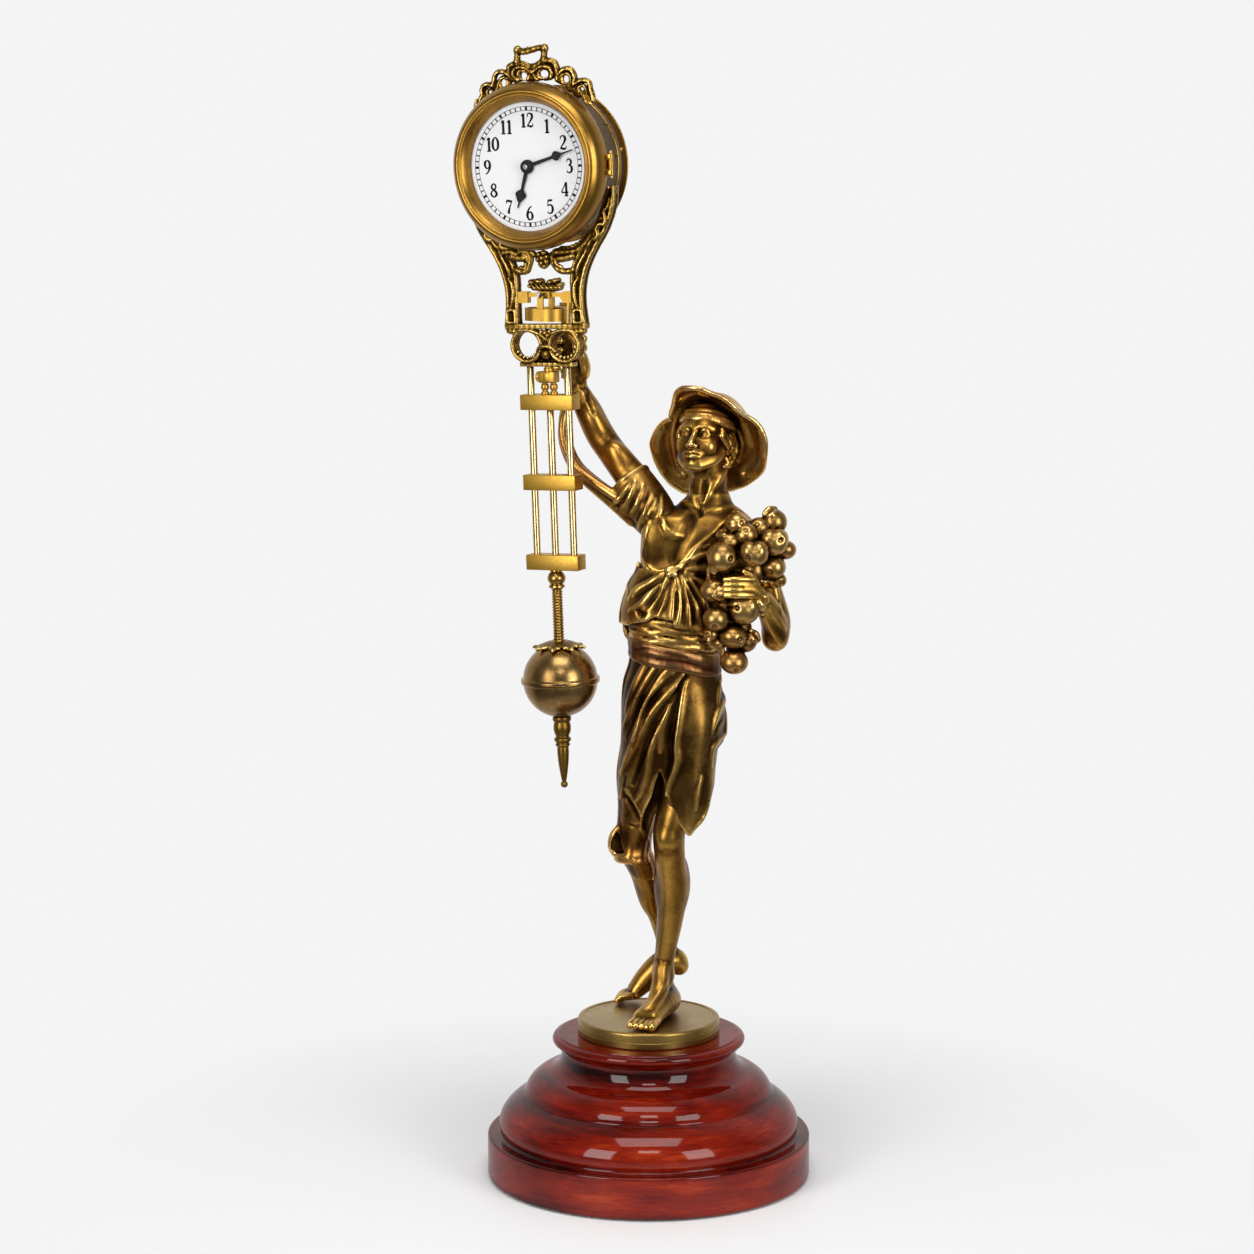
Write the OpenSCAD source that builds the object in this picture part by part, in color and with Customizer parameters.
// Swinging mystery clock: a bronze figure on a turned wooden base holds up a small post, and the
// whole clock, head and pendulum together, rocks on a knife edge above the hand.
// Millimetres, +Z up, origin at the centre of the base's underside, the dial faces -Y.

/* [Base] */
// Largest diameter of the wooden base
base_d = 228; // [222:1:240]
// Height of the top of the wood above the table
base_h = 103; // [98:1:112]
// Height of the straight plinth at the foot of the wood
plinth_h = 31; // [26:1:36]
// Radius of the neck under the top rim
neck_r = 61.5; // [58:0.5:64]
// Radius of the top rim of the wood
rim_r = 68; // [66:0.5:74]
// Thickness of the felt under the base
felt_t = 1.5; // [1:0.25:3]
// Diameter of the round plate that the figure stands on
plate_d = 100; // [94:1:110]
// Thickness of that plate
plate_h = 12; // [9:0.5:15]
// Diameter of the bolt that holds the plate to the wood
bolt_d = 8; // [6:1:10]

/* [Figure] */
// Height of the figure from its soles to the top of its hat
figure_h = 447; // [430:1:465]
// How far the figure is turned on its base, degrees
figure_turn = 26; // [24:0.5:28]

/* [Pivot] */
// Distance from the post in the hand forward to the swinging plane
post_reach = 28; // [26:0.5:34]
// Height of the pivot above the hand's grip
post_rise = 52; // [48:0.5:56]
// Diameter of the post
post_d = 7; // [5:0.5:9]
// Half the distance between the two pivot prongs
prong_half = 10; // [9:0.25:11]
// Height of the strap that carries the prongs
strap_h = 8.5; // [7:0.5:9]
// How far the clock has swung from plumb at rest, degrees
rest_lean = 2.2; // [0:0.1:3]

/* [Pendulum] */
// Diameter of the three rods
rod_d = 5; // [4:0.25:6]
// Distance between neighbouring rods
rod_pitch = 14.3; // [13:0.1:15.5]
// Width of each rod block
block_w = 40; // [36:0.5:44]
// Height of each rod block
block_h = 10.5; // [9:0.5:13]
// Depth of each rod block
block_t = 12.7; // [11:0.1:14]
// Depth below the pivot of the upper block's middle
upper_block_drop = 72; // [71:0.5:76]
// Distance between the middles of neighbouring blocks
block_step = 55.5; // [50:0.5:58]
// Diameter of the screwed rod under the blocks
screw_d = 8; // [6:0.5:9]
// Length of screwed rod that shows above the bob
screw_show = 35; // [31:0.5:40]
// Radius of the bob
bob_r = 26; // [23:0.5:28]
// Radius of the band round the bob, beyond the bob itself
bob_band = 1.3; // [0.8:0.1:2]
// Length of the finial under the bob
finial_h = 50.5; // [48:0.5:56]

/* [Clock head] */
// Height of the dial's centre above the pivot
head_rise = 89.5; // [89:0.25:92]
// Outer radius of the drum
case_r = 50; // [49.5:0.1:51]
// Thickness of the drum's wall
case_wall = 1.5; // [1:0.1:2]
// Length of the drum, front to back
case_depth = 36; // [34:0.5:40]
// Outer radius of the bezel
bezel_r = 57; // [56:0.1:57.4]
// Depth of the bezel, back to front
bezel_depth = 15.7; // [15:0.1:18]
// Radius of the dial
dial_r = 44.2; // [43.6:0.1:44.3]
// Radius of the opening in the bezel
sight_r = 43.4; // [40:0.1:43.6]
// Thickness of the dial glass
glass_t = 1.5; // [1:0.1:1.8]
// Radius of the rear cover's flange
cover_r = 54; // [52:0.25:56]
// Length of the minute hand from its centre to its tip
minute_hand_l = 38; // [30:0.5:41]
// Length of the hour hand from its centre to its tip
hour_hand_l = 26; // [20:0.5:30]

/* [Ornament] */
// Thickness of the lyre-shaped frame, front to back
lyre_t = 8; // [6:0.5:9]
// Thickness of the crest on top of the drum
crest_t = 5; // [4:0.25:6]
// Thickness of the scroll casting under the lyre
scroll_t = 9; // [7:0.5:11]

/* [Movement] */
// Gear module of the barrel wheel and its pinion
barrel_module = 0.6; // [0.59:0.005:0.61]
// Gear module of the intermediate wheel and the centre pinion
centre_module = 0.55; // [0.545:0.005:0.56]
// Gear module of the fast end of the train
train_module = 0.4; // [0.395:0.005:0.405]
// Radius of the train's arbors
arbor_r = 0.9; // [0.7:0.05:1.1]
// Radius of the winding arbor
winding_r = 2; // [1.7:0.1:2.3]
// Radial running clearance of arbors in their plates
run_gap = 0.05; // [0.03:0.01:0.08]
// Length of the short pendulum inside the case
inner_rod_l = 48; // [42:0.5:50]

/* [Hidden] */
$fn = 64;

// Colours of the materials
WOOD = [0.36, 0.07, 0.04];
FELT = [0.10, 0.18, 0.12];
BRONZE = [0.45, 0.33, 0.14];
DARK_BRONZE = [0.33, 0.22, 0.10];
BRASS = [0.83, 0.62, 0.20];
GILT = [0.72, 0.50, 0.15];
STEEL = [0.45, 0.46, 0.48];
BLUED = [0.03, 0.03, 0.04];
DIAL_WHITE = [0.93, 0.93, 0.92];
GLASS = [0.8, 0.9, 0.95, 0.35];
LEAD = [0.35, 0.36, 0.38];

// Levels of the stand
base_r = base_d / 2;
plate_top = base_h + plate_h;
figure_k = figure_h / 447;
bolt_r = bolt_d / 2;
recess_r = bolt_r + 8;
recess_h = 16;
washer_h = 1.6;
bolt_head_h = 5;
bolt_grip = plate_h - 3;

// The hand's grip on the post, in the figure's own frame, and the pivot that follows from it
grip = [-57.6, 24.7, 455];
grip_x = figure_k * (grip[0] * cos(figure_turn) - grip[1] * sin(figure_turn));
grip_y = figure_k * (grip[0] * sin(figure_turn) + grip[1] * cos(figure_turn));
pivot_x = grip_x - 1;
pivot_y = grip_y - post_reach;
pivot_z = plate_top + figure_k * grip[2] + post_rise + 0.2;
post_x = grip_x - pivot_x;

// The strap under the knife edge, measured from the pivot
strap_top = -7.5;
strap_bottom = strap_top - strap_h;
strap_wall = 1.8;
strap_end_r = prong_half + 1;
strap_half_l = 15;
prong_t = 1.6;
prong_w = 4.4;
knife_half_l = prong_half + prong_t / 2 + 1.2;

// Stations down the pendulum, measured from the pivot
lyre_floor = -18.4;
floor_t = 3.1;
scroll_foot = -47.5;
foot_bar_h = 3;
upper_z = -upper_block_drop;
middle_z = upper_z - block_step;
lower_z = middle_z - block_step;
lower_face = lower_z - block_h / 2;
collar_h = 13;
bob_crown_z = lower_face - collar_h - screw_show;
bob_z = bob_crown_z - bob_r - 3.5;
screw_r = screw_d / 2;
slide_gap = 0.1;
finial_top = bob_z - bob_r + 0.2;
bob_travel = 7.2;
rod_in_finial = 12;

// Levels of the head along Y, measured from the swinging plane
case_front = -12;
case_back = case_front + case_depth;
case_in = case_r - case_wall;
bezel_back = case_front - 0.3;
bezel_front = bezel_back - bezel_depth;
glass_front = bezel_front + 2;
glass_back = glass_front + glass_t;
dial_face = case_front - 7;
dial_t = 0.8;
plate_t = 1.5;
front_plate_in = case_front + plate_t;
back_plate_in = 12;
back_plate_out = back_plate_in + plate_t;
pillar_ring = case_r - 8;
hour_hand_y = dial_face - 1.6;
minute_hand_y = dial_face - 3.2;
hand_t = 0.4;
hinge_x = bezel_r + 2.2;
hinge_y = case_front;
knuckle_r = 1.9;
hinge_pin_r = 0.8;
lug_z = 3.7;
lug_h = 3.3;
pin_head_r = 1.2;

// The wheel train, seen from the front: tooth counts and centres
barrel_teeth = 60;
first_leaves = 12;
intermediate_teeth = 60;
centre_leaves = 12;
centre_teeth = 80;
third_leaves = 10;
third_teeth = 75;
escape_leaves = 10;
escape_teeth = 30;
cannon_leaves = 12;
minute_teeth = 36;
minute_leaves = 10;
hour_teeth = 40;
intermediate_angle = 212;
barrel_angle = -39;
third_angle = 60;
escape_angle = 156;
minute_angle = -20;
intermediate_d = centre_module * (intermediate_teeth + centre_leaves) / 2;
barrel_d = barrel_module * (barrel_teeth + first_leaves) / 2;
third_d = train_module * (centre_teeth + third_leaves) / 2;
escape_d = train_module * (third_teeth + escape_leaves) / 2;
minute_d = train_module * (cannon_leaves + minute_teeth) / 2;
hour_module = 2 * minute_d / (minute_leaves + hour_teeth);
function polar(r, a) = [r * cos(a), r * sin(a)];
intermediate_at = polar(intermediate_d, intermediate_angle);
barrel_at = intermediate_at + polar(barrel_d, barrel_angle);
third_at = polar(third_d, third_angle);
escape_at = third_at + polar(escape_d, escape_angle);
escape_r = 10;
anchor_rise = 13.5;
anchor_at = escape_at + [0, anchor_rise];
minute_at = polar(minute_d, minute_angle);

// The turn of a driven gear, so that its gap meets the driver's tooth on the line of centres
function mesh_turn(driver_turn, driver_n, driven_n, line) =
    line + 180 - (driver_turn - line) * driver_n / driven_n - 180 / driven_n;
centre_turn = 0;
third_turn = mesh_turn(centre_turn, centre_teeth, third_leaves, third_angle);
escape_turn = mesh_turn(third_turn, third_teeth, escape_leaves, escape_angle);
intermediate_turn = mesh_turn(centre_turn, centre_leaves, intermediate_teeth, intermediate_angle);
barrel_turn = mesh_turn(intermediate_turn, first_leaves, barrel_teeth, barrel_angle);
minute_turn = mesh_turn(centre_turn, cannon_leaves, minute_teeth, minute_angle);
hour_turn = mesh_turn(minute_turn, minute_leaves, hour_teeth, minute_angle + 180);

// The photographed time, as clock angles from twelve
minute_hand_turn = 73;
hour_hand_turn = 197;

// Points on a quadratic curve and on a smooth curve through given points
function curve(a, b, c, n) = [for (i = [0:n]) let (t = i / n)
    (1 - t) * (1 - t) * a + 2 * t * (1 - t) * b + t * t * c];
function smooth(p, k) = concat([for (i = [0:len(p) - 2], j = [0:k - 1]) let (
    t = j / k, a = p[max(i - 1, 0)], b = p[i], c = p[i + 1], d = p[min(i + 2, len(p) - 1)])
    0.5 * (2 * b + (c - a) * t + (2 * a - 5 * b + 4 * c - d) * t * t
           + (3 * b - a - 3 * c + d) * t * t * t)], [p[len(p) - 1]]);
function unit(v) = v / norm(v);
function first3(v) = [v[0], v[1], v[2]];

// A flat strip of even width along a path of points
function strip(path, w) = let (n = len(path),
    side = [for (i = [0:n - 1]) let (d = unit(path[min(i + 1, n - 1)] - path[max(i - 1, 0)]))
            [-d[1], d[0]] * w / 2])
    concat([for (i = [0:n - 1]) path[i] + side[i]], [for (i = [n - 1:-1:0]) path[i] - side[i]]);
function oval(centre, rx, ry, n) = [for (i = [0:n - 1]) centre + [rx * cos(i * 360 / n),
    ry * sin(i * 360 / n)]];

// A closed skin over a stack of rings of points, counter-clockwise about the stacking direction
module skin(rings) {
    n = len(rings[0]);
    m = len(rings);
    middle = function (ring) [for (k = [0:2]) [for (p = ring) p[k]] * [for (p = ring) 1] / n];
    points = concat([for (ring = rings) each ring], [middle(rings[0]), middle(rings[m - 1])]);
    walls = [for (j = [0:m - 2], i = [0:n - 1]) let (a = j * n + i, b = j * n + (i + 1) % n)
             each [[a, a + n, b + n], [a, b + n, b]]];
    foot = [for (i = [0:n - 1]) [m * n, i, (i + 1) % n]];
    crown = [for (i = [0:n - 1]) [m * n + 1, (m - 1) * n + (i + 1) % n, (m - 1) * n + i]];
    polyhedron(concat(points), concat(walls, foot, crown));
}

// A limb: stations of [x, y, z, half width, half depth], smoothed, with sides round it
module limb(stations, sides = 16, steps = 2, front = [0, -1, 0]) {
    path = smooth(stations, steps);
    last = len(path) - 1;
    skin([for (i = [0:last]) let (
        s = path[i], along = unit(first3(path[min(i + 1, last)]) - first3(path[max(i - 1, 0)])),
        across = unit(cross(front, along)), deep = cross(along, across))
        [for (j = [0:sides - 1]) let (a = j * 360 / sides)
            first3(s) + across * s[3] * cos(a) + deep * s[4] * sin(a)]]);
}

// Level rings of [height, x, y, half width, half depth, fold depth, fold turn]
module draped(stations, sides, folds, steps = 2) {
    skin([for (s = smooth(stations, steps)) [for (j = [0:sides - 1]) let (
        a = j * 360 / sides, swell = 1 + s[5] * cos(folds * a + s[6]))
        [s[1] + s[3] * swell * cos(a), s[2] + s[4] * swell * sin(a), s[0]]]]);
}

// A ridge of cloth or hair between points of [x, y, z, radius]
module ridge(points, facets = 8) {
    for (i = [0:len(points) - 2])
        hull() {
            translate(first3(points[i])) sphere(points[i][3], $fn = facets);
            translate(first3(points[i + 1])) sphere(points[i + 1][3], $fn = facets);
        }
}

// A place on the front of an oval of cloth, at an angle counted from its right-hand side
function on_x(middle, half, a) = middle + half * cos(a);
function on_y(half, a) = -half * sin(a);

module on_plate() translate([0, 0, plate_top]) rotate([0, 0, figure_turn]) scale(figure_k) children();
module hang() translate([pivot_x, pivot_y, pivot_z]) rotate([0, -rest_lean, 0]) children();
module at_head() hang() translate([0, 0, head_rise]) children();

// A flat piece from level y0 to y0 + t, drawn as seen from the front with x right and z up
module slab(y0, t) translate([0, y0 + t, 0]) rotate([90, 0, 0]) linear_extrude(t) children();
// A turned piece about Y: its profile is [radius, level along Y]
module turned_y() rotate([-90, 0, 0]) rotate_extrude() children();
// A round rod along Y at a place in the front view
module rod_y(at, r, y0, y1) translate([at[0], y0, at[1]]) rotate([-90, 0, 0]) cylinder(r = r, h = y1 - y0);

// Wheels and pinions
module teeth_outline(n, mod, leaf) {
    pitch = 360 / n;
    outer = n * mod / 2 + (leaf ? 0.75 : 0.85) * mod;
    root = n * mod / 2 - 1.2 * mod;
    foot = (leaf ? 0.22 : 0.25) * pitch;
    tip = (leaf ? 0.10 : 0.09) * pitch;
    polygon([for (i = [0:n - 1]) let (a = i * pitch)
             each [polar(root, a - foot), polar(outer, a - tip), polar(outer, a + tip), polar(root,
                 a + foot)]]);
}
module wheel(at, n, mod, turn, y0, t, bore) {
    rim = n * mod / 2 - 3.2 * mod;
    hub = max(3, bore + 1.6);
    slab(y0, t) translate(at) difference() {
        rotate(turn) teeth_outline(n, mod, false);
        circle(bore);
        if (rim - hub > 4)
            for (i = [0:3]) rotate(i * 90 + 45) difference() {
                intersection() {
                    circle(rim);
                    polygon([[1.5, 1.5], [rim, 1.5], [rim, rim], [1.5, rim]]);
                }
                circle(hub);
            }
    }
}
module pinion(at, n, mod, turn, y0, t, bore) {
    slab(y0, t) translate(at) difference() {
        rotate(turn) teeth_outline(n, mod, true);
        circle(bore);
    }
}

// Stand
module wood_base() {
    waist_z = base_h - 16;
    edge_r = (base_r + neck_r) / 2;
    edge_z = (plinth_h + waist_z) / 2 + 1.5;
    profile = concat(
        [[0, felt_t], [base_r - 1.5, felt_t], [base_r, felt_t + 1.5], [base_r, plinth_h - 1.5]],
        curve([base_r, plinth_h - 1.5], [base_r, plinth_h], [base_r - 1.5, plinth_h], 3),
        [[base_r - 7, plinth_h], [base_r - 8.2, plinth_h + 0.9], [base_r - 9, plinth_h + 2.2]],
        curve([base_r - 8.5, plinth_h + 3], [base_r - 5.5, plinth_h + 17], [edge_r + 2, edge_z - 1.5], 10),
        [[edge_r + 0.6, edge_z - 0.6], [edge_r + 0.6, edge_z + 1]],
        curve([edge_r - 0.4, edge_z + 2], [edge_r - 4, waist_z - 14], [neck_r + 11, waist_z - 11], 6),
        curve([neck_r + 11, waist_z - 11], [neck_r + 1, waist_z - 8], [neck_r, waist_z + 2], 8),
        [[neck_r, waist_z + 4]],
        curve([neck_r, waist_z + 5], [neck_r + 1, base_h - 7], [rim_r - 1, base_h - 6], 4),
        curve([rim_r - 1, base_h - 6], [rim_r + 0.8, base_h - 3.5], [rim_r - 1.5, base_h - 1.2], 5),
        [[rim_r - 4, base_h - 1.2], [rim_r - 4.8, base_h], [0, base_h]]);
    color(WOOD) difference() {
        rotate_extrude($fn = 96) polygon(profile);
        translate([0, 0, felt_t - 1]) cylinder(r = recess_r, h = recess_h + 1);
        translate([0, 0, felt_t]) cylinder(r = bolt_r + 0.4, h = base_h);
    }
}

// The felt covers the bolt's recess
module felt_pad() color(FELT) cylinder(r = base_r - 5, h = felt_t);

module fixing_bolt() {
    shoulder = felt_t + recess_h;
    color(STEEL) {
        translate([0, 0, shoulder - washer_h]) difference() {
            cylinder(r = bolt_r + 5, h = washer_h);
            translate([0, 0, -1]) cylinder(r = bolt_r, h = washer_h + 2);
        }
        translate([0, 0, shoulder - washer_h - bolt_head_h]) {
            cylinder(r = bolt_r * 1.85, h = bolt_head_h, $fn = 6);
            cylinder(r = bolt_r, h = base_h + bolt_grip - shoulder + washer_h + bolt_head_h);
        }
    }
}

module figure_plate() {
    r = plate_d / 2;
    color(BRONZE) difference() {
        translate([0, 0, base_h]) rotate_extrude($fn = 96)
            polygon([[0, 0], [r - 0.8, 0], [r, 0.8], [r, plate_h - 1.2], [r - 1.2, plate_h], [0, plate_h]]);
        translate([0, 0, base_h - 1]) cylinder(r = bolt_r, h = bolt_grip + 1);
    }
}

// Figure: its own frame has x to the right as seen from the front, y to the back, z up from the soles
module legs() {
    color(BRONZE) on_plate() union() {
        limb([[20, -5, 158, 13.5, 15], [17, -8, 146, 12.4, 13.6], [14, -9, 132, 11.3, 12.5],
              [15, -4, 112, 10.6, 12], [17, 2, 92, 10.8, 12.5], [15, 4, 68, 9.2, 10],
              [12, 5, 46, 7.4, 8], [10, 5, 30, 7.4, 8.6], [10, 4, 12, 8, 10]], 16, 2);
        limb([[17, 16, 8, 6, 6], [15, 10, 10, 8.6, 9.8], [10, -3, 11, 9, 11], [4, -17, 8.5, 10, 8.4],
              [-1, -29, 5.6, 11, 5.4], [-4, -37, 4, 9, 3.8]], 14, 2, [0, 0, 1]);
        for (i = [0:4])
            ridge([[-10.5 + i * 3.5, -31.5 - i * 1.4, 3.6, 2.9],
                [-13.5 + i * 3.8, -38 - i * 1.3, 2.8, 2.6 - i * 0.05]]);
        limb([[-8, 9, 150, 12, 14], [-9, 12, 140, 12, 14], [-9, 14, 130, 11.8, 13.5],
              [-8, 22, 112, 10.4, 12], [-1, 31, 88, 9.4, 11.5], [7, 39, 62, 7.2, 8.4],
              [12, 43, 44, 6.6, 7.4], [14, 44, 32, 7, 8]], 16, 2);
        limb([[22, 47, 24, 5.4, 6], [18, 46, 28, 7.4, 8.6], [9, 44, 25, 7.6, 9], [-1, 42, 16, 8, 8],
              [-9, 41, 7.4, 9, 5.6], [-15, 40, 4.2, 9.4, 3.9]], 14, 2, [0, 0, 1]);
        for (i = [0:4])
            ridge([[-13 - i * 0.8, 48 - i * 4.2, 3.8, 2.8], [-20 - i * 0.7, 47.5 - i * 4.4, 2.8, 2.4]]);
    }
}

module trousers() {
    hem = [for (i = [0:9]) let (a = i * 40) [-12 + 13.6 * cos(a), 8 + 14.6 * sin(a), 113]];
    color(DARK_BRONZE) on_plate() union() {
        draped([[160, 12, 2, 31, 22, 0.05, 60], [178, 12, 1, 33, 23, 0.05, 30],
            [200, 15, 0, 36, 24, 0.06, 0],
                [222, 17, 0, 37, 25, 0.05, -30], [240, 17, 0, 34, 24, 0.04, -50],
                    [252, 18, 0, 31, 23, 0.01, -60],
                [262, 18, 0, 30.5, 22.5, 0, -60]], 40, 10);
        draped([[130, 29, -4, 11, 14, 0.05, 0], [142, 27, -4, 16, 19, 0.05, 10],
            [160, 26, -3, 19, 21, 0.05, 20],
                [185, 24, -1, 19, 21, 0.03, 30]], 28, 6);
        draped([[112, -12, 8, 14, 15, 0.10, 0], [122, -11, 9, 13, 15, 0.06, 10],
            [145, -8, 7, 14, 17, 0.05, 20],
                [180, -6, 5, 16, 19, 0.03, 30]], 28, 7);
        ridge([for (p = hem) [p[0], p[1], p[2], 1.6]]);
        for (i = [0:5])
            ridge([[on_x(17, 34, i * 9 + 66), on_y(24, i * 9 + 66), 238, 1.4],
                [on_x(16, 36, i * 10 + 72), on_y(24, i * 10 + 72), 205, 1.8],
                   [on_x(12, 31, i * 10 + 80), on_y(22, i * 10 + 80), 168, 1.4]]);
        ridge([[on_x(17, 34, 22), on_y(24, 22), 238, 2], [on_x(16, 36, 26), on_y(24, 26), 212, 2.4],
            [on_x(12, 31, 34), on_y(22, 34), 176, 1.6]]);
    }
}

module torso() {
    color(BRONZE) on_plate() union() {
        draped([[258, 18, 0, 29, 20, 0, 0], [276, 18, 1, 27, 19, 0, 0], [300, 21, 2, 28, 19, 0, 0],
                [325, 27, 2, 32, 19.5, 0, 0], [344, 31, 2, 33, 18.5, 0, 0], [356, 35, 3, 30, 15, 0, 0],
                [363, 39, 4, 20, 12, 0, 0], [370, 41, 4, 14, 12, 0, 0]], 28, 2);
        limb([[41, 5, 360, 14, 13], [42, 4, 372, 12.4, 12.4], [42, 2, 384, 11.6, 12],
            [41, 0, 394, 12, 12.5]], 20, 2);
        for (s = [-1, 1])
            ridge([[40 + s * 5, -9, 364, 2], [40 + s * 16, -8, 362, 2.2], [36 + s * 28, -3, 358, 3.4]], 10);
        for (s = [-1, 1])
            ridge([[41 + s * 9, 2, 388, 2.4], [40 + s * 3, -8.5, 366, 1.8]], 8);
        ridge([[24, -16.5, 345, 3], [20, -17.5, 334, 4], [12, -15.5, 328, 3]], 10);
    }
}

module shirt() {
    color(DARK_BRONZE) on_plate() union() {
        draped([[266, 17, 0, 31, 23, 0.035, 0], [274, 16, 0, 34.5, 25, 0.04, 20],
            [290, 15, 0, 34, 25, 0.035, 50],
                [306, 17, 1, 32, 22.5, 0.02, 80], [316, 21, 2, 31.5, 21, 0.01, 90]], 44, 14);
        for (i = [0:7])
            ridge([[17 + i * 0.6, -21.5, 318, 1.6], [2 + i * 5.6, -24.5, 296, 1.7],
                [-12 + i * 8.2, -23 + abs(i - 3.5) * 0.7, 271 - i * 0.6, 1.6]]);
        ridge([[16, -22, 320, 3.4], [16, -23.5, 313, 2.4]], 10);
        ridge([[16, -20, 319, 2.4], [4, -17, 322, 2.6], [-3, -10, 330, 2.8], [-2, -6, 342, 2.8],
            [4, -5, 354, 3]], 8);
        ridge([[18, -20, 320, 2.6], [30, -18.6, 330, 2.6], [44, -16.4, 340, 2.6], [55, -9, 350, 3],
            [56, -1, 357, 3.4]], 8);
    }
}

module head() {
    color(BRONZE) on_plate() union() {
        translate([38, 0, 410]) rotate([0, 0, -24]) rotate([-20, 0, 0]) union() {
            limb([[0, 3, -24, 7, 8], [0, 1, -20, 12, 14], [0, 1, -10, 16, 19], [0, 2, 2, 18, 22],
                  [0, 3, 12, 17.5, 21], [0, 4, 20, 13, 16], [0, 5, 24, 5, 6]], 22, 2);
            ridge([[0, -18, 5, 1.6], [0, -21.5, -2, 2], [0, -22.5, -5, 2.4]], 8);
            for (s = [-1, 1]) {
                ridge([[s * 2, -19.5, 6, 1.3], [s * 7, -18.5, 7.5, 1.4], [s * 11, -15.5, 6, 1.2]], 8);
                ridge([[s * 18, 2, 2, 2.4], [s * 18.5, 3, -4, 2.2]], 8);
                ridge([[s * 0.4, -18.2, -11, 1.5], [s * 5, -16.4, -10.5, 1]], 8);
            }
            ridge([[0, -15.5, -20, 3.6], [0, -14, -22, 3]], 8);
        }
    }
}

module hat() {
    // Rings from the crown's top out to the brim's edge and back inside: [out, radius, waviness]
    outside = [[34, 6, 0], [33, 14, 0], [29, 21, 0.01], [20, 26, 0.02], [9, 29, 0.03], [3, 33, 0.05],
        [-5, 39, 0.09]];
    inside = [[-7, 39, 0.09], [1, 32, 0.05], [6, 27, 0.03], [17, 23.5, 0.02], [25, 18, 0.01], [29, 9, 0]];
    ring = function (s) [for (j = [0:39]) let (a = j * 9)
        [s[1] * (1 + s[2] * cos(3 * a + 40) + s[2] * 0.5 * sin(5 * a)) * cos(a),
         s[1] * 1.02 * (1 + s[2] * cos(3 * a + 40)) * sin(a), s[0] + 60 * s[2] * cos(2 * a + 30)]];
    color(DARK_BRONZE) on_plate() translate([42, 8, 411]) rotate([0, 0, -22]) rotate([-62, 0, 0])
        union() {
            skin([for (i = [len(inside) - 1:-1:0]) ring(inside[i]),
                for (i = [len(outside) - 1:-1:0]) ring(outside[i])]);
            for (j = [0:11]) let (a = j * 30)
                hull() {
                    translate([27.5 * cos(a), 27.5 * sin(a), 10]) sphere(2.4, $fn = 8);
                    translate([27.5 * cos(a + 30), 27.5 * sin(a + 30), 10]) sphere(2.4, $fn = 8);
                }
        }
}

module raised_arm() {
    color(BRONZE) on_plate() union() {
        limb([[8, 4, 352, 13, 13], [1, 6, 364, 13, 13], [-11, 12, 380, 11.5, 12], [-24, 19, 396, 10, 11],
              [-34, 24, 410, 9.8, 10.5], [-42, 27, 426, 9.2, 9.6], [-48, 28, 440, 7.4, 8],
              [-50, 28, 447, 7.2, 7.6], [-52, 27, 455, 9, 10]], 18, 2);
        limb([[-52, 27, 450, 8, 9], [-53, 26, 458, 11, 11], [-54, 25.5, 468, 11.5, 11.5],
            [-54, 25, 476, 9, 9]], 16, 2);
        limb([[-57, 30, 453, 6, 6], [-57, 30, 458, 9, 9], [-57, 30, 470, 9, 9],
            [-57, 30, 478, 6, 6]], 12, 1);
        for (i = [0:3])
            ridge([[-46, 34, 457 + i * 6.2, 3.6], [-60, 37, 458 + i * 6.2, 3.4],
                [-68, 27, 459 + i * 6, 3.2],
                   [-62, 17, 460 + i * 6, 2.9]]);
        ridge([[-46, 22, 452, 4], [-45, 15, 462, 3.6], [-50, 12, 472, 3.1]]);
    }
}

module sleeve() {
    color(DARK_BRONZE) on_plate() union() {
        limb([[9, 5, 346, 15, 15], [1, 6, 360, 16, 16], [-9, 11, 374, 15, 16],
            [-17, 16, 384, 14, 16]], 26, 3);
        for (i = [0:5]) let (a = 190 + i * 32)
            ridge([[-17 + 12 * cos(a), 16 + 15 * sin(a), 385 + 7 * cos(a), 2],
                [0 + 14 * cos(a), 6 + 15 * sin(a), 360 + 6 * cos(a), 1.8]]);
        limb([[-54, 27, 436, 2.6, 6], [-58, 24, 420, 3.2, 8], [-57, 20, 404, 3.6, 9], [-51, 17, 388, 4, 9],
              [-40, 14, 377, 4.4, 9], [-27, 11, 367, 5, 9], [-12, 8, 356, 6, 9],
                  [-2, 6, 350, 6, 8]], 14, 2);
    }
}

module left_arm() {
    color(BRONZE) on_plate() union() {
        limb([[56, 3, 352, 12, 12], [64, 2, 344, 12, 12.5], [74, 1, 322, 11, 12], [83, -1, 298, 10.4, 11.5],
              [88, -4, 282, 10, 11], [87, -8, 270, 8.4, 9]], 18, 2);
        limb([[88, -8, 272, 9, 9], [86, -13, 284, 9.4, 9.4], [81, -20, 296, 8.2, 8.4],
            [76, -27, 305, 6.8, 6.4],
              [70, -32, 310, 7, 5.4], [64, -35, 312, 7.6, 4.6]], 16, 2);
        for (i = [0:3])
            ridge([[66, -35, 317 - i * 3.9, 2.5], [58, -37.5, 318 - i * 4, 2.3],
                [50.5, -36.5, 318 - i * 4, 2]]);
    }
}

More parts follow.
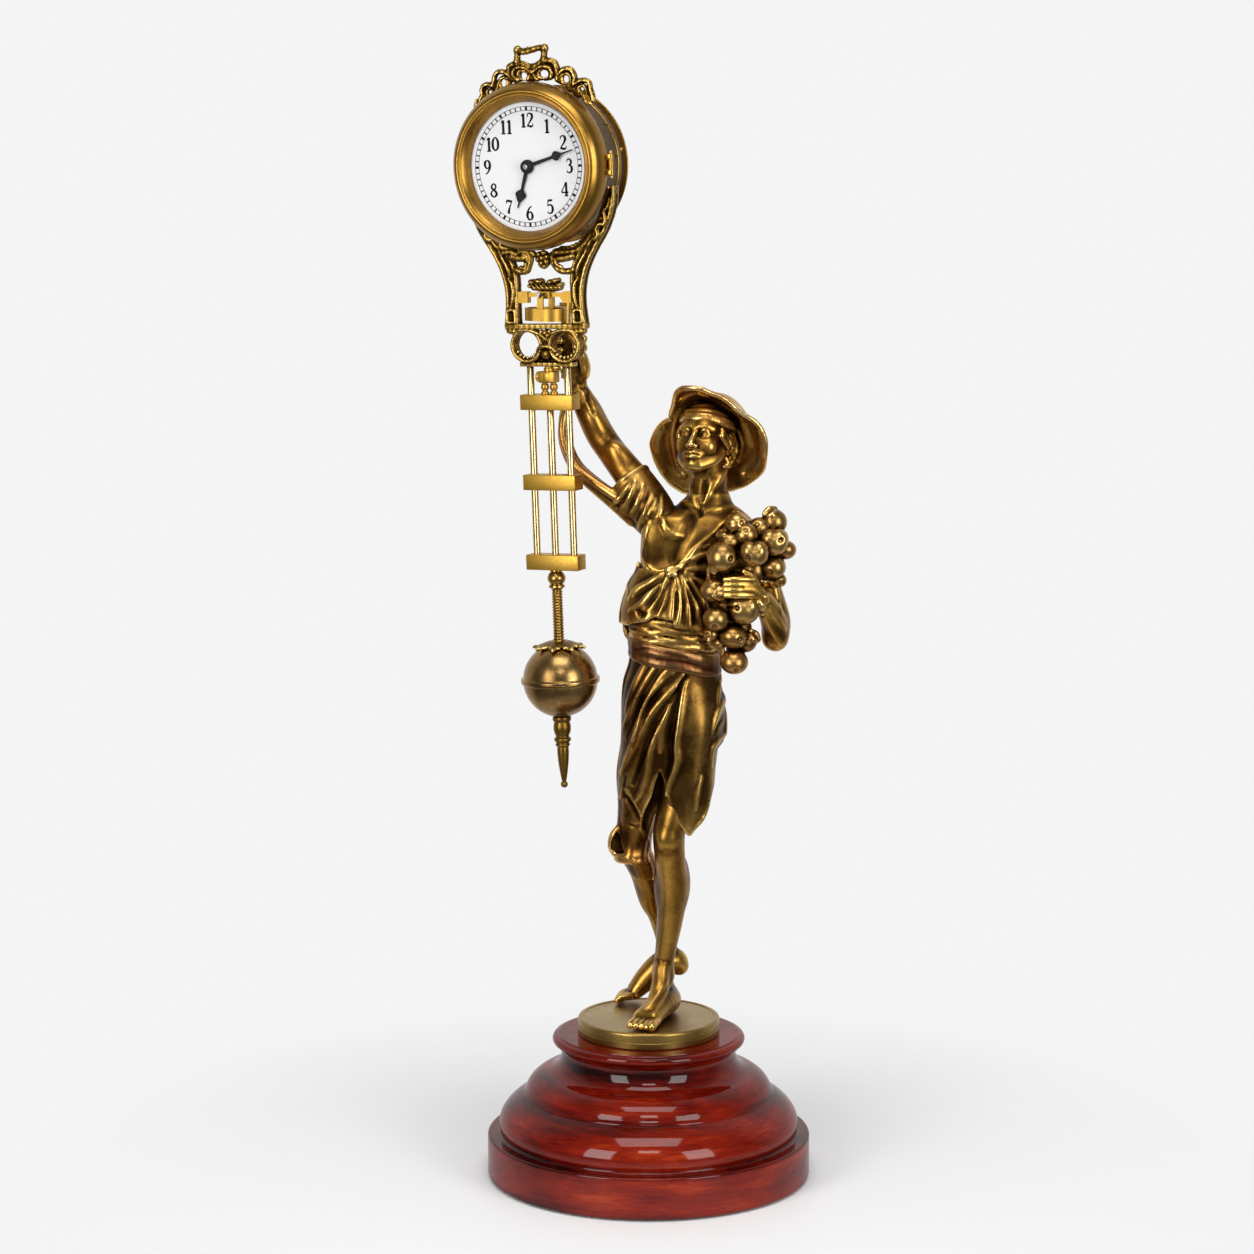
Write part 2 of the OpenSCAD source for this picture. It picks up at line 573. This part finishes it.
// Fruit of the bunch: [x, y, z, radius]
fruit = [[51, -30, 327, 11], [72, -33, 330, 9], [62, -25, 348, 10.5], [68, -26, 342, 9], [85, -17, 351, 9],
         [86, -24, 337, 10], [93, -15, 333, 8], [84, -20, 320, 8], [44, -30, 301, 9.8],
             [66, -27, 290, 10.4],
         [46, -30, 284, 9], [58, -25, 273, 9], [67, -21, 269, 8.2], [59, -26, 255, 10], [76, -12, 340, 10],
         [58, -16, 312, 12], [60, -14, 330, 12], [72, -14, 318, 12], [56, -17, 294, 11],
             [62, -16, 280, 10]];
module fruit_bunch() {
    color(BRONZE) on_plate() union()
        for (f = fruit) translate(first3(f)) sphere(f[3], $fn = 12);
}

module hand_post() {
    foot = figure_k * grip[2] + plate_top - pivot_z - 6;
    color(BRASS) translate([pivot_x + post_x, pivot_y + post_reach, pivot_z]) {
        translate([0, 0, foot]) cylinder(d = post_d, h = strap_bottom + 3 - foot);
        translate([0, 0, strap_bottom + 3]) cylinder(d = post_d - 2, h = strap_top - strap_bottom - 3);
        translate([0, 0, strap_top]) cylinder(d = post_d + 2, h = 1.8);
    }
}

module pivot_stirrup() {
    straight = strap_half_l - strap_end_r;
    color(BRASS) translate([pivot_x, pivot_y, pivot_z + strap_bottom]) {
        linear_extrude(strap_h) difference() {
            union() {
                for (s = [-1, 1]) translate([s * straight, 0]) circle(strap_end_r);
                square([2 * straight, 2 * strap_end_r], center = true);
            }
            for (s = [-1, 1]) translate([s * straight, 0]) circle(strap_end_r - strap_wall);
            square([2 * straight, 2 * (strap_end_r - strap_wall)], center = true);
        }
        translate([0, 0, 3]) linear_extrude(strap_h - 3) difference() {
            union() {
                translate([-3, strap_end_r - 0.6]) square([6, post_reach - strap_end_r]);
                translate([post_x, post_reach]) circle(d = post_d + 1);
            }
            translate([post_x, post_reach]) circle(d = post_d - 2);
        }
    }
}

module pivot_prongs() {
    notch = 0.05;
    strap_in = strap_end_r - strap_wall;
    color(STEEL) translate([pivot_x, pivot_y, pivot_z])
        for (y = [strap_in - prong_t, -strap_in])
            slab(y, prong_t)
                polygon([[-prong_w / 2, strap_bottom + 1], [prong_w / 2, strap_bottom + 1],
                    [prong_w / 2, 1.4],
                         [0, -notch], [-prong_w / 2, 1.4]]);
}

// Frame, crossbar and knife edge
module lyre_outline(inset = 0) {
    outer = smooth([[57, 74], [56, 62], [50, 47], [42, 35], [35.5, 24], [31, 12], [29.5, 0],
        [30, -10], [31, lyre_floor]], 4);
    inner = smooth([[20.5, -8], [20.5, 3], [20.5, 14], [23.5, 24], [30, 34], [38, 44], [44, 56]], 4);
    for (s = [-1, 1]) scale([s, 1])
        polygon(concat(outer, [[31, lyre_floor - floor_t], [0, lyre_floor - floor_t], [0, lyre_floor],
            [20.5, lyre_floor]], inner));
}
module lyre_frame() {
    color(GILT) hang() {
        slab(-lyre_t / 2, lyre_t) difference() {
            union() {
                lyre_outline();
                for (s = [-1, 1]) {
                    polygon(strip(smooth([[s * 25, 27], [s * 20, 32], [s * 12, 30.5], [s * 5, 27]], 4), 5));
                    difference() {
                        translate([s * 16, 23]) circle(6, $fn = 32);
                        translate([s * 16, 23]) circle(2.6, $fn = 32);
                    }
                }
                translate([0, 26.5]) circle(7.4, $fn = 32);
            }
            translate([0, head_rise]) circle(case_r);
        }
        for (s = [-1, 1]) {
            slab(-lyre_t / 2 - 1, lyre_t + 2) translate([s * 25.5, -12.5]) square([6.5, 9], center = true);
            translate([0, 0, lyre_floor - floor_t]) translate([s * 26, -scroll_t / 2,
                0]) mirror([s < 0 ? 1 : 0, 0, 0])
                translate([-4, 0, 0]) cube([9, scroll_t, floor_t]);
        }
        slab(-lyre_t / 2 - 1.4, 1.6) translate([0, 26.5]) circle(5.2, $fn = 32);
    }
}

module knife_outline() polygon([[0, 0], [1.6, 3.4], [-1.6, 3.4]]);
module crossbar() {
    color(BRASS) hang() difference() {
        union() {
            slab(-2.6, 5.2) polygon([[-20.5, -3.9], [-13, -3.9], [-13, 3.9], [-20.5, 3.9]]);
            slab(-1.3, 2.6) translate([0, 1.6]) square([30, 2.8], center = true);
            slab(-4, 8) translate([0, 1.45]) square([9.4, 4.9], center = true);
            slab(-2.6, 5.2) polygon([[20.5, -3.9], [20.5, 3.9], [14.5, 3.9], [10.5, 1.6], [14.5, -3.9]]);
        }
        slab(-5, 10) knife_outline();
    }
}
module knife_edge() color(STEEL) hang() slab(-knife_half_l, 2 * knife_half_l) knife_outline();

module leaf_crown() {
    lobes = 5;
    top = [for (i = [0:40]) let (t = i / 40, x = 13 - 26 * t) [x,
        10.8 + 2.2 * abs(cos(lobes * 90 * (1 - 2 * t)))]];
    color(GILT) hang() {
        slab(-4.5, 9) polygon(concat([[-7, 3.9], [7, 3.9], [10, 6]], top, [[-10, 6]]));
        for (s = [-1, 1]) slab(-5.6, 11.2) translate([s * 8, 8.4]) circle(2.2, $fn = 24);
    }
}

module scroll_knot() {
    floor_z = lyre_floor - floor_t;
    ring_z = (floor_z + scroll_foot + foot_bar_h) / 2;
    ring_h = (floor_z - scroll_foot - foot_bar_h) / 2 + 0.8;
    ring_w = 12.6;
    color(GILT) hang() difference() {
        union() {
            slab(-scroll_t / 2, scroll_t) difference() {
                union() {
                    for (s = [-1, 1]) polygon(oval([s * 14.4, ring_z], ring_w, ring_h, 40));
                    translate([0, scroll_foot + foot_bar_h / 2]) square([41, foot_bar_h], center = true);
                    translate([0, floor_z - 1]) square([46, 2], center = true);
                    translate([0, scroll_foot + 8.5]) circle(4.6, $fn = 32);
                }
                for (s = [-1, 1]) polygon(oval([s * 14.4, ring_z + 0.5], ring_w - 4.2, ring_h - 3.4, 32));
                translate([-30, floor_z]) square([60, 4]);
            }
            slab(-scroll_t / 2 - 2, scroll_t + 4) translate([0, scroll_foot + 8.5]) circle(3.4, $fn = 32);
        }
        for (s = [-1, 1]) translate([s * rod_pitch, 0, scroll_foot - 1]) cylinder(d = rod_d, h = 3);
    }
}

// Rods and blocks
module pendulum_rods() {
    color(BRASS) hang() {
        for (s = [-1, 1]) translate([s * rod_pitch, 0, lower_z - block_h / 2 + 1])
            cylinder(d = rod_d, h = scroll_foot + 2 - lower_z + block_h / 2 - 1);
        translate([0, 0, lower_z - block_h / 2 + 1])
            cylinder(d = rod_d, h = upper_z - lower_z + block_h - 2);
    }
}
module rod_block(z, above, below) {
    color(BRASS) hang() translate([0, 0, z]) difference() {
        cube([block_w, block_t, block_h], center = true);
        for (i = [-1:1]) {
            top = (i == 0 && !above) ? block_h / 2 - 1 : block_h;
            bottom = below ? -block_h : 1 - block_h / 2;
            translate([i * rod_pitch, 0, bottom]) cylinder(d = rod_d, h = top - bottom);
        }
    }
}
module upper_block() rod_block(upper_z, false, true);
module middle_block() rod_block(middle_z, true, true);
module lower_block() rod_block(lower_z, true, false);

module rod_adjuster() {
    foot = upper_z + block_h / 2;
    height = scroll_foot - foot;
    peg_h = height * 0.42;
    color(BRASS) hang() translate([0, 0, foot]) {
        for (s = [-1, 1]) translate([s * 3.4, 0, 0]) rotate_extrude($fn = 32)
            polygon([[0, 0], [2.8, 0], [2.8, 1.6], [2, 2.4], [2.8, 3.4], [2.8, peg_h - 2], [2, peg_h],
                [0, peg_h]]);
        translate([-6, -4.5, peg_h]) cube([12, 9, height * 0.42]);
        translate([0, 0, peg_h + height * 0.42]) cylinder(r = 3.4, h = height - peg_h - height * 0.42);
        translate([-9, 0, peg_h + height * 0.21]) rotate([0, 90, 0]) cylinder(r = 3.6, h = 3);
    }
}

module bob_collar() {
    color(BRASS) hang() translate([0, 0, lower_face - collar_h]) difference() {
        rotate_extrude() polygon(concat([[0, 0], [4.8, 0], [5.6, 0.8], [5.6, 2], [4.4, 3]],
            curve([4.8, 3.4], [9.4, 6.6], [4.8, 10.4], 8), [[3.6, 11], [4.4, 12], [4.4, collar_h],
                [0, collar_h]]));
        translate([0, 0, -1]) cylinder(r = screw_r, h = 9);
    }
}

module screwed_rod() {
    pitch = 2.4;
    top = lower_face - collar_h;
    turns = floor(screw_show / pitch);
    foot = finial_top - rod_in_finial;
    grooves = [for (i = [0:turns - 1]) each let (z = top - 0.5 - i * pitch)
               [[screw_r - 1.1, z], [screw_r, z - pitch * 0.35], [screw_r, z - pitch * 0.65],
                   [screw_r - 1.1, z - pitch]]];
    color(BRASS) hang() {
        rotate_extrude($fn = 48) polygon(concat([[0, top + 8], [screw_r, top + 8],
            [screw_r, top - 0.2]], grooves,
            [[screw_r, top - 0.8 - turns * pitch], [screw_r, foot + 0.6], [screw_r - 0.6, foot],
                [0, foot]]));
    }
}

// Bob
module bob_shell() {
    color(DARK_BRONZE) hang() translate([0, 0, bob_z]) difference() {
        union() {
            difference() {
                sphere(bob_r);
                sphere(bob_r - 1.5);
            }
            rotate_extrude() polygon([[bob_r - 1, -2], [bob_r + bob_band - 0.6, -2],
                [bob_r + bob_band, -1.2],
                [bob_r + bob_band, 1.2], [bob_r + bob_band - 0.6, 2], [bob_r - 1, 2]]);
            translate([0, 0, bob_r - 2]) cylinder(r = screw_r + 3.5, h = 2.9);
        }
        cylinder(r = screw_r + slide_gap, h = 3 * bob_r, center = true);
    }
}
module bob_weight() {
    color(LEAD) hang() translate([0, 0, bob_z]) difference() {
        intersection() {
            sphere(bob_r - 1.5);
            translate([0, 0, -5]) cube([2 * bob_r, 2 * bob_r, 24], center = true);
        }
        cylinder(r = screw_r + 3 * slide_gap, h = 3 * bob_r, center = true);
    }
}
module leaf_collar() {
    leaves = 8;
    star = [for (i = [0:leaves - 1]) each let (a = i * 360 / leaves)
            [polar(10, a - 180 / leaves), polar(14.5, a - 90 / leaves), polar(18, a), polar(14.5,
                a + 90 / leaves)]];
    color(BRONZE) hang() translate([0, 0, bob_z]) {
        difference() {
            intersection() {
                sphere(bob_r + 1.2);
                linear_extrude(bob_r + 2) polygon(star);
            }
            sphere(bob_r);
            cylinder(r = screw_r + 3.5, h = 2 * bob_r);
        }
        translate([0, 0, bob_r - 1.2]) difference() {
            cylinder(r = screw_r + 5, h = 2.7);
            translate([0, 0, -1]) cylinder(r = screw_r + 3.5, h = 5);
            translate([0, 0, 1.2 - bob_r]) sphere(bob_r);
        }
        translate([0, 0, bob_r + 0.9]) difference() {
            cylinder(r1 = screw_r + 5, r2 = screw_r + 1.6, h = 2.4);
            translate([0, 0, -1]) cylinder(r = screw_r + slide_gap, h = 5);
        }
    }
}
module rating_finial() {
    h = finial_h;
    color(GILT) hang() translate([0, 0, finial_top]) difference() {
        rotate_extrude() polygon(concat(
            [[0, 0], [6.1, 0], [6.4, -0.8], [6.4, -2.4], [5.7, -3.2]],
            curve([5.5, -3.6], [6.9, -8], [5.2, -13], 6), [[4.4, -13.6]],
            curve([4.6, -14], [6.4, -16], [4.4, -18.4], 4), [[5.2, -19], [5.2, -20.4], [4.2, -21]],
            curve([4.4, -22], [4.4, -30], [1.5, 3.8 - h], 6),
            [for (i = [0:8]) let (a = 50 - i * 17.5) [2.6 * cos(a), 2.6 - h + 2.6 * sin(a)]]));
        translate([0, 0, -rod_in_finial - bob_travel - 0.4])
            cylinder(r = screw_r + slide_gap, h = rod_in_finial + bob_travel + 1.4);
    }
}

// Crest
module crest() {
    // Each loop: [angle round the drum, radius]
    loops = [[60, 5.4], [120, 5.4], [44, 4.6], [136, 4.6]];
    band = 8.4;
    bow_z = case_r + 12.6;
    handle_z = case_r + 29;
    color(GILT) at_head() slab(case_front + 1.2, crest_t) difference() {
        union() {
            intersection() {
                circle(case_r + band);
                polygon([[0, 0], [1.6 * case_r, 1.32 * case_r], [0, 1.8 * case_r],
                    [-1.6 * case_r, 1.32 * case_r]]);
            }
            for (l = loops) translate(polar(case_r + band - 1 + l[1] * 0.4, l[0])) circle(l[1], $fn = 28);
            for (s = [-1, 1]) polygon(oval([s * 9, bow_z], 9.6, 5.8, 32));
            translate([-14.4, bow_z]) square([28.8, handle_z - bow_z + 3]);
        }
        circle(case_r);
        for (l = loops) translate(polar(case_r + band - 1 + l[1] * 0.4, l[0])) circle(l[1] * 0.42,
            $fn = 28);
        for (s = [-1, 1]) polygon(oval([s * 10, bow_z - 1.4], 4.6, 2.4, 24));
        polygon(concat(curve([-10.4, bow_z + 5], [-11, handle_z - 4], [-8.4, handle_z - 1.4], 5),
            curve([-6, handle_z - 0.6], [0, handle_z - 4], [6, handle_z - 0.6], 6),
            curve([8.4, handle_z - 1.4], [11, handle_z - 4], [10.4, bow_z + 5], 5), [[0, bow_z + 2.5]]));
    }
}

// Case
module case_drum() {
    color(GILT) at_head() difference() {
        union() {
            turned_y() polygon([[case_in, case_front], [case_r, case_front], [case_r + 1, case_front + 0.5],
                [case_r + 1, case_front + 1], [case_r, case_front + 1.2], [case_r, case_back - 4],
                    [case_r + 0.8, case_back - 3.4],
                [case_r + 0.8, case_back], [case_in, case_back], [case_in, front_plate_in + 1.5],
                [case_in - 2.5, front_plate_in + 1.5], [case_in - 2.5, front_plate_in],
                    [case_in, front_plate_in]]);
            translate([case_r - 0.5, hinge_y + 1, -3.4]) cube([hinge_x - case_r + 0.5, 1.6, 6.8]);
            translate([hinge_x, hinge_y, -3.4]) cylinder(r = knuckle_r, h = 6.8);
        }
        translate([hinge_x, hinge_y, -4]) cylinder(r = hinge_pin_r, h = 8);
        screw_places() cylinder(r = 1, h = 12, center = true);
    }
}
module screw_places() {
    for (a = [10, 130, 250]) rotate([0, -a, 0]) translate([case_r, case_back - 1.7, 0]) rotate([0, 90,
        0]) children();
}
module cover_screws() {
    color(BRASS) at_head() screw_places() {
        translate([0, 0, 0.8]) cylinder(r1 = 1.7, r2 = 1.2, h = 1);
        translate([0, 0, -case_wall - 1.5]) cylinder(r = 1, h = case_wall + 2.3);
    }
}
module rear_cover() {
    lip = case_in - 0.05;
    color(GILT) at_head() difference() {
        turned_y() polygon([[0, case_back], [lip - 1.6, case_back], [lip - 1.6, case_back - 3.4],
            [lip, case_back - 3.4],
            [lip, case_back], [cover_r - 0.6, case_back], [cover_r, case_back + 0.6],
                [cover_r, case_back + 1.2],
            [cover_r - 0.8, case_back + 1.8], [case_r - 6, case_back + 2.2], [0, case_back + 2.2]]);
        rod_y(barrel_at, winding_r + 1, case_back - 5, case_back + 5);
        rod_y([0, 0], 2.2, case_back - 5, case_back + 5);
        screw_places() cylinder(r = 1, h = 12, center = true);
    }
}

module dial() {
    color(DIAL_WHITE) at_head() difference() {
        union() {
            rod_y([0, 0], dial_r, dial_face, dial_face + dial_t);
            for (a = [90, 225, 315]) rod_y(polar(dial_r - 6, a), 1.5, dial_face + dial_t, case_front);
        }
        rod_y([0, 0], 3, dial_face - 1, dial_face + 2);
    }
}

module front_plate() {
    color(BRASS) at_head() difference() {
        rod_y([0, 0], case_in - 0.1, case_front, front_plate_in);
        for (at = [intermediate_at, third_at, escape_at, anchor_at])
            rod_y(at, arbor_r + run_gap, case_front - 1, front_plate_in + 1);
        rod_y([0, 0], 1.2 + run_gap, case_front - 1, front_plate_in + 1);
        rod_y(barrel_at, winding_r + run_gap, case_front - 1, front_plate_in + 1);
    }
}
module back_plate() {
    color(BRASS) at_head() difference() {
        rod_y([0, 0], case_in - 2.5, back_plate_in, back_plate_out);
        for (at = [intermediate_at, third_at, escape_at, anchor_at])
            rod_y(at, arbor_r + run_gap, back_plate_in - 1, back_plate_out + 1);
        rod_y([0, 0], 1.2 + run_gap, back_plate_in - 1, back_plate_out + 1);
        rod_y(barrel_at, winding_r + run_gap, back_plate_in - 1, back_plate_out + 1);
    }
}
module plate_pillars() {
    color(BRASS) at_head() {
        for (a = [45, 135, 215, 325])
            rod_y(polar(pillar_ring, a), 2.5, front_plate_in, back_plate_in);
        rod_y(minute_at, 0.8, case_front - 4.8, case_front);
        rod_y(barrel_at + click_place, 1, back_plate_out, back_plate_out + 2);
    }
}

// Bezel
module bezel() {
    color(GILT) at_head() difference() {
        union() {
            turned_y() polygon(concat(
                [[dial_r + 0.8, bezel_back], [bezel_r - 1, bezel_back], [bezel_r, bezel_back - 1.2]],
                curve([bezel_r, bezel_back - 3.4], [bezel_r - 1.5, bezel_front + 1],
                    [bezel_r - 8, bezel_front], 8),
                [[sight_r + 1.2, bezel_front], [sight_r, bezel_front + 0.8], [sight_r, glass_front],
                 [dial_r + 1.6, glass_front], [dial_r + 1.6, glass_back], [dial_r + 0.8, glass_back]]));
            for (z = [lug_z, -lug_z - lug_h]) {
                translate([hinge_x, hinge_y, z]) cylinder(r = knuckle_r, h = lug_h);
                translate([bezel_r - 1.2, bezel_back - 1.4, z]) cube([hinge_x - bezel_r + 1.2, 1.5, lug_h]);
            }
        }
        translate([hinge_x, hinge_y, -9]) cylinder(r = hinge_pin_r, h = 18);
        turned_y() polygon([[dial_r + 3, bezel_back + 1], [bezel_r - 2.6, bezel_back + 1],
            [bezel_r - 2.6, bezel_back - 3.4],
            [bezel_r - 5, bezel_front + 4.6], [dial_r + 4, bezel_front + 2.6],
                [dial_r + 3, bezel_front + 3.4]]);
    }
}
module crystal() color(GLASS) at_head() rod_y([0, 0], dial_r + 1.6, glass_front, glass_back);
module bezel_hinge_pin() {
    head_z = lug_z + lug_h + pin_head_r + 0.05;
    color(BRASS) at_head() translate([hinge_x, hinge_y, 0]) {
        cylinder(r = hinge_pin_r - 0.05, h = 2 * head_z, center = true);
        for (s = [-1, 1]) translate([0, 0, s * head_z]) sphere(pin_head_r);
    }
}

// Movement
spring_turns = 7;
module mainspring_barrel() {
    y0 = -6;
    y1 = 6;
    r = barrel_module * barrel_teeth / 2 - 2.2 * barrel_module;
    color(BRASS) at_head() {
        translate([barrel_at[0], 0, barrel_at[1]]) turned_y()
            polygon([[winding_r + run_gap, y0], [r, y0], [r, y1], [winding_r + run_gap, y1],
                [winding_r + run_gap, y1 - 0.8],
                     [r - 0.8, y1 - 0.8], [r - 0.8, y0 + 0.8], [winding_r + run_gap, y0 + 0.8]]);
        slab(y1, 2) translate(barrel_at) difference() {
            rotate(barrel_turn) teeth_outline(barrel_teeth, barrel_module, false);
            circle(winding_r + run_gap);
        }
    }
}
module mainspring() {
    r0 = winding_r + 1.95;
    r1 = barrel_module * barrel_teeth / 2 - 2.2 * barrel_module - 1.05;
    coil = [for (i = [0:spring_turns * 24]) let (t = i / (spring_turns * 24)) polar(r0 + (r1 - r0) * t,
        i * 15)];
    color(STEEL) at_head() slab(-4.8, 9.6) translate(barrel_at) polygon(strip(coil, 0.5));
}
ratchet_teeth = 20;
ratchet_r = 7.6;
click_place = [11.4, 3.4];
module winding_arbor() {
    y_ratchet = back_plate_out + 0.3;
    color(STEEL) at_head() {
        rod_y(barrel_at, winding_r, case_front + 0.1, case_back + 6);
        rod_y(barrel_at, winding_r + 1.6, -4.8, 4.8);
        slab(y_ratchet, 1.2) translate(barrel_at)
            polygon([for (i = [0:ratchet_teeth - 1]) let (a = i * 360 / ratchet_teeth)
                     each [polar(ratchet_r, a), polar(ratchet_r - 1, a + 1.5)]]);
    }
}
module winding_key() {
    y0 = case_back + 6;
    color(BRASS) at_head() translate([barrel_at[0], 0, barrel_at[1]]) difference() {
        union() {
            rod_y([0, 0], winding_r + 1.4, y0 - 2.4, y0 + 7);
            translate([0, y0 + 7, 0]) rotate([90, 0, 90]) linear_extrude(2, center = true) difference() {
                union() {
                    for (s = [-1, 1]) translate([3.4, s * 6]) circle(5.4, $fn = 32);
                    translate([1.2, 0]) square([5, 12], center = true);
                }
                for (s = [-1, 1]) translate([3.8, s * 6.4]) circle(2.6, $fn = 32);
            }
        }
        rod_y([0, 0], winding_r, y0 - 3, y0);
    }
}
module click() {
    y0 = back_plate_out + 0.3;
    tip = polar(ratchet_r + 0.25, 42);
    color(STEEL) at_head() slab(y0, 1.2) translate(barrel_at) difference() {
        union() {
            translate(click_place) circle(2.2, $fn = 32);
            polygon([click_place + [-1.6, -1.2], click_place + [1.4, 1.6], tip + [1.4, 1.8], tip]);
        }
        translate(click_place) circle(1 + run_gap, $fn = 32);
    }
}
module arbor(at) rod_y(at, arbor_r, case_front + 0.2, back_plate_out - 0.2);
module intermediate_wheel() {
    color(BRASS) at_head() {
        arbor(intermediate_at);
        wheel(intermediate_at, intermediate_teeth, centre_module, intermediate_turn, -9, 1.3, arbor_r);
        pinion(intermediate_at, first_leaves, barrel_module, intermediate_turn, 5.5, 3, arbor_r);
    }
}
module centre_wheel() {
    color(BRASS) at_head() {
        rod_y([0, 0], 1.2, case_front - 1.5, case_back + 6);
        wheel([0, 0], centre_teeth, train_module, centre_turn, 9.3, 1.2, 1.2);
        pinion([0, 0], centre_leaves, centre_module, centre_turn, -9.7, 2.6, 1.2);
        rod_y([0, 0], 4, case_back + 6, case_back + 10);
    }
}
module third_wheel() {
    color(BRASS) at_head() {
        arbor(third_at);
        wheel(third_at, third_teeth, train_module, third_turn, -2, 1.2, arbor_r);
        pinion(third_at, third_leaves, train_module, third_turn, 8.9, 2, arbor_r);
    }
}
module escape_wheel() {
    rim = escape_r - 2.4;
    color(BRASS) at_head() {
        arbor(escape_at);
        pinion(escape_at, escape_leaves, train_module, escape_turn, -2.6, 2.4, arbor_r);
        slab(-7, 0.8) translate(escape_at) difference() {
            polygon([for (i = [0:escape_teeth - 1]) let (a = i * 360 / escape_teeth)
                     each [polar(escape_r - 1.6, a - 6), polar(escape_r, a), polar(escape_r - 1.6,
                         a + 1.5)]]);
            circle(arbor_r);
            for (i = [0:4]) rotate(i * 72) translate([rim / 2 + 1, 0]) circle(1.7, $fn = 24);
        }
    }
}
module anchor() {
    left = polar(escape_r + 0.8, 137);
    right = polar(escape_r + 0.8, 43);
    color(STEEL) at_head() {
        rod_y(anchor_at, arbor_r, case_front + 0.2, back_plate_out + 4);
        slab(-7.4, 1.6) translate(escape_at) {
            translate([0, anchor_rise]) circle(2.6, $fn = 32);
            polygon([[0, anchor_rise + 2], left + [-3, 3.2], left + [-2, 0.2], left, left + [0.4, 2.4],
                [-2, anchor_rise - 2]]);
            polygon([[0, anchor_rise + 2],
                [2, anchor_rise - 2], right + [-0.4, 2.4], right, right + [2, 0.2], right + [3, 3.2]]);
        }
    }
}
module inner_pendulum() {
    y0 = back_plate_out + 2;
    color(BRASS) at_head() translate([anchor_at[0], 0, anchor_at[1]]) {
        difference() {
            rod_y([0, 0], 2.4, y0, y0 + 2);
            rod_y([0, 0], arbor_r, y0 - 1, y0 + 3);
        }
        translate([0, y0 + 1, -inner_rod_l]) cylinder(r = 0.7, h = inner_rod_l - 1.8);
        rod_y([0, -inner_rod_l], 6, y0, y0 + 3);
    }
}

// Motion work and hands
module cannon_pinion() {
    color(STEEL) at_head() difference() {
        union() {
            rod_y([0, 0], 1.6, minute_hand_y - 1.4, case_front - 0.2);
            pinion([0, 0], cannon_leaves, train_module, centre_turn, case_front - 2.4, 1.9, 1.2);
        }
        rod_y([0, 0], 1.2, case_front - 1.5, case_front);
    }
}
module minute_wheel() {
    y_wheel = case_front - 2.1;
    color(BRASS) at_head() difference() {
        union() {
            wheel(minute_at, minute_teeth, train_module, minute_turn, y_wheel, 1.1, 0.8 + run_gap);
            pinion(minute_at, minute_leaves, hour_module, minute_turn, y_wheel - 2.1, 2.1, 0.8 + run_gap);
        }
        rod_y(minute_at, 0.8 + run_gap, case_front - 5, case_front);
    }
}
module hour_wheel() {
    color(BRASS) at_head() difference() {
        union() {
            slab(case_front - 4, 1.1) rotate(hour_turn) teeth_outline(hour_teeth, hour_module, false);
            rod_y([0, 0], 2.4, hour_hand_y - 0.6, case_front - 3);
        }
        rod_y([0, 0], 1.6 + run_gap, minute_hand_y, case_front);
    }
}
// A spade hand pointing up, with a round boss
module spade_hand(l, boss, bore, t, y) {
    waist = l * 0.62;
    leaf = l * 0.085;
    slab(y, t) difference() {
        union() {
            circle(boss, $fn = 32);
            polygon([[-1.1, 0], [1.1, 0], [0.7, waist], [-0.7, waist]]);
            polygon(concat(curve([0, waist - leaf], [leaf * 1.9, waist + leaf * 0.3],
                [0.6, waist + leaf * 2.6], 5),
                [[0.25, l], [-0.25, l]], curve([-0.6, waist + leaf * 2.6],
                    [-leaf * 1.9, waist + leaf * 0.3], [0, waist - leaf], 5)));
        }
        circle(bore, $fn = 48);
    }
}
module minute_hand() {
    color(BLUED) at_head() {
        rotate([0, minute_hand_turn, 0]) spade_hand(minute_hand_l, 3.6, 1.6, hand_t, minute_hand_y);
        rod_y([0, 0], 2.6, minute_hand_y - 2, minute_hand_y - 1.4);
    }
}
module hour_hand() color(BLUED) at_head()
    rotate([0, hour_hand_turn, 0]) spade_hand(hour_hand_l, 3.8, 2.4, hand_t, hour_hand_y);

wood_base();
felt_pad();
fixing_bolt();
figure_plate();
legs();
trousers();
torso();
shirt();
head();
hat();
raised_arm();
sleeve();
left_arm();
fruit_bunch();
hand_post();
pivot_stirrup();
pivot_prongs();
lyre_frame();
crossbar();
knife_edge();
leaf_crown();
scroll_knot();
pendulum_rods();
upper_block();
middle_block();
lower_block();
rod_adjuster();
bob_collar();
screwed_rod();
crest();
case_drum();
rear_cover();
cover_screws();
dial();
front_plate();
back_plate();
plate_pillars();
bezel();
crystal();
bezel_hinge_pin();
bob_shell();
bob_weight();
leaf_collar();
rating_finial();
mainspring_barrel();
mainspring();
winding_arbor();
winding_key();
click();
intermediate_wheel();
centre_wheel();
cannon_pinion();
minute_hand();
minute_wheel();
hour_wheel();
hour_hand();
third_wheel();
escape_wheel();
anchor();
inner_pendulum();
